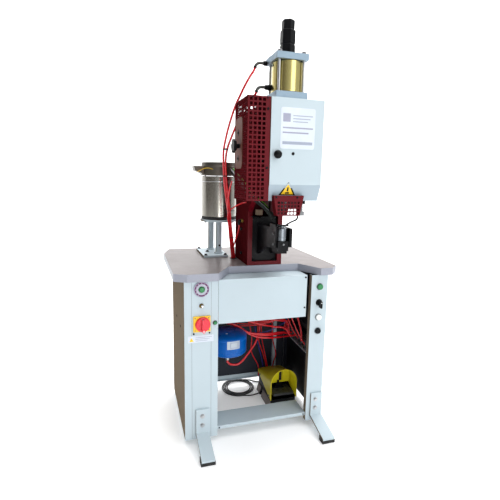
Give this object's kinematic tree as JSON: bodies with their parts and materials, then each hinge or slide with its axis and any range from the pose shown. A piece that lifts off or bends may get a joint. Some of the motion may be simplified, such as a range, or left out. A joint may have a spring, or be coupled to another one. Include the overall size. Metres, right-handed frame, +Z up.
{
  "type": "snap setting press",
  "caption": "Pneumatic snap setting press on a sheet-metal table, with a ram and dies, a hinged head cover, a bowl feeder and a foot pedal.",
  "frame": {"origin": "on the floor, midway between the table's sides and between the cover knob in front and the table's back edge", "axes": "+X to the operator's right, +Y from the operator towards the back, +Z up"},
  "size_m": [0.724, 0.814, 1.678],
  "materials": {
    "laminate": "grey laminate on board, satin",
    "white_paint": "white powder coat, fine texture",
    "dark_panel": "dark blue-grey powder coat",
    "rubber": "moulded black rubber",
    "cable_black": "black cable jacket",
    "red_paint": "dark red gloss enamel",
    "black_metal": "blackened steel",
    "black_plastic": "moulded black plastic",
    "steel": "machined steel",
    "aluminium": "anodised aluminium",
    "brass": "drawn brass tube, semi-bright",
    "bowl_steel": "worn stainless steel",
    "track_metal": "dark metal",
    "tank_blue": "blue gloss enamel",
    "hose_red": "red polyurethane hose",
    "dial_grey": "grey dial face",
    "green_plastic": "green moulded plastic",
    "white_plastic": "white moulded plastic",
    "yellow_plastic": "yellow moulded plastic",
    "red_plastic": "red moulded plastic",
    "chrome": "plated",
    "pedal_yellow": "yellow enamel"
  },
  "bodies": {
    "root": {"table_top": "laminate", "left_column": "white_paint", "right_column": "white_paint", "front_panel": "white_paint", "front_rail": "white_paint", "foot_front_left": "white_paint", "foot_front_right": "white_paint", "foot_back_left": "white_paint", "foot_back_right": "white_paint", "bowl_stand": "white_paint", "back_panel": "dark_panel", "pad_front_left": "rubber", "pad_front_right": "rubber", "pad_back_left": "rubber", "pad_back_right": "rubber", "pedal_cable_lead": "cable_black", "pedal_cable_coil": "cable_black", "pedal_cable_tail": "cable_black", "press_frame": "red_paint", "side_cage": "red_paint", "lower_arm": "black_metal", "anvil_holder": "black_metal", "pedal_base": "black_plastic", "elbow_upper": "steel", "elbow_lower": "steel", "lower_die": "steel", "ram_guide": "steel", "tie_rod_1": "steel", "tie_rod_2": "steel", "tie_rod_3": "steel", "tie_rod_4": "steel", "vibrator_drum": "steel", "cylinder_lower_cap": "aluminium", "cylinder_upper_cap": "aluminium", "valve_manifold": "aluminium", "cylinder_tube": "brass", "feed_track": "track_metal", "air_tank": "tank_blue", "air_hose_upper": "hose_red", "air_hose_lower": "hose_red", "timer_dial": "dial_grey", "switch_plate": "yellow_plastic", "pedal_hood": "pedal_yellow"},
    "ram": {"ram": "steel", "upper_die": "steel"},
    "cover": {"head_cover": "white_paint", "punch_guard": "red_paint"},
    "cover_latch": {"cover_knob": "black_plastic"},
    "cage_knob": {"star_knob": "black_plastic"},
    "adjuster": {"stroke_adjuster": "black_metal"},
    "bowl": {"feeder_bowl": "bowl_steel"},
    "treadle": {"pedal_treadle": "black_plastic"},
    "main_switch": {"switch_knob": "red_plastic"},
    "selector": {"selector_knob": "black_plastic"},
    "timer": {"timer_knob": "green_plastic"},
    "toggle": {"toggle_lever": "chrome"},
    "start": {"start_button": "green_plastic"},
    "white_push": {"white_button": "white_plastic"},
    "black_push": {"black_button": "black_plastic"},
    "auxiliary_push": {"auxiliary_button": "green_plastic"}
  },
  "joints": [
    {"name": "ram_slide", "type": "slide", "parent": "root", "child": "ram", "axis": [0, 0, -1], "range_m": [0, 0.045]},
    {"name": "cover_hinge", "type": "hinge", "parent": "root", "child": "cover", "pos_m": [0.15, -0.337, 1.2], "axis": [0, 0, 1], "range_deg": [0, 100]},
    {"name": "cover_latch_turn", "type": "hinge", "parent": "cover", "child": "cover_latch", "pos_m": [-0.025, -0.38, 1.207], "axis": [0, 1, 0], "range_deg": [0, 90]},
    {"name": "cage_knob_turn", "type": "hinge", "parent": "root", "child": "cage_knob", "pos_m": [-0.14, -0.287, 1.237], "axis": [1, 0, 0], "continuous": true},
    {"name": "adjuster_turn", "type": "hinge", "parent": "root", "child": "adjuster", "pos_m": [0.043, -0.272, 1.6], "axis": [0, 0, 1], "continuous": true},
    {"name": "bowl_vibration", "type": "hinge", "parent": "root", "child": "bowl", "pos_m": [-0.092, 0.243, 1.15], "axis": [0, 0, 1], "range_deg": [-1, 1], "stiffness_Nm_per_rad": 60},
    {"name": "treadle_press", "type": "hinge", "parent": "root", "child": "treadle", "pos_m": [0.1885, 0.163, 0.054], "axis": [1, 0, 0], "range_deg": [0, 6], "stiffness_Nm_per_rad": 10, "springref_deg": -6.88},
    {"name": "main_switch_turn", "type": "hinge", "parent": "root", "child": "main_switch", "pos_m": [-0.248, -0.19, 0.54], "axis": [0, 1, 0], "range_deg": [0, 90]},
    {"name": "selector_turn", "type": "hinge", "parent": "root", "child": "selector", "pos_m": [0.27, -0.19, 0.593], "axis": [0, 1, 0], "range_deg": [0, 90]},
    {"name": "timer_turn", "type": "hinge", "parent": "root", "child": "timer", "pos_m": [-0.252, -0.185, 0.685], "axis": [0, 1, 0], "range_deg": [-150, 150]},
    {"name": "toggle_flip", "type": "hinge", "parent": "root", "child": "toggle", "pos_m": [-0.252, -0.178, 0.616], "axis": [1, 0, 0], "range_deg": [0, 24]},
    {"name": "start_press", "type": "slide", "parent": "root", "child": "start", "axis": [0, 1, 0], "range_m": [0, 0.004], "stiffness_N_per_m": 400, "springref_m": -0.001},
    {"name": "white_press", "type": "slide", "parent": "root", "child": "white_push", "axis": [0, 1, 0], "range_m": [0, 0.004], "stiffness_N_per_m": 400, "springref_m": -0.001},
    {"name": "black_press", "type": "slide", "parent": "root", "child": "black_push", "axis": [0, 1, 0], "range_m": [0, 0.004], "stiffness_N_per_m": 400, "springref_m": -0.001},
    {"name": "auxiliary_press", "type": "slide", "parent": "root", "child": "auxiliary_push", "axis": [0, 1, 0], "range_m": [0, 0.004], "stiffness_N_per_m": 400, "springref_m": -0.001}
  ]
}
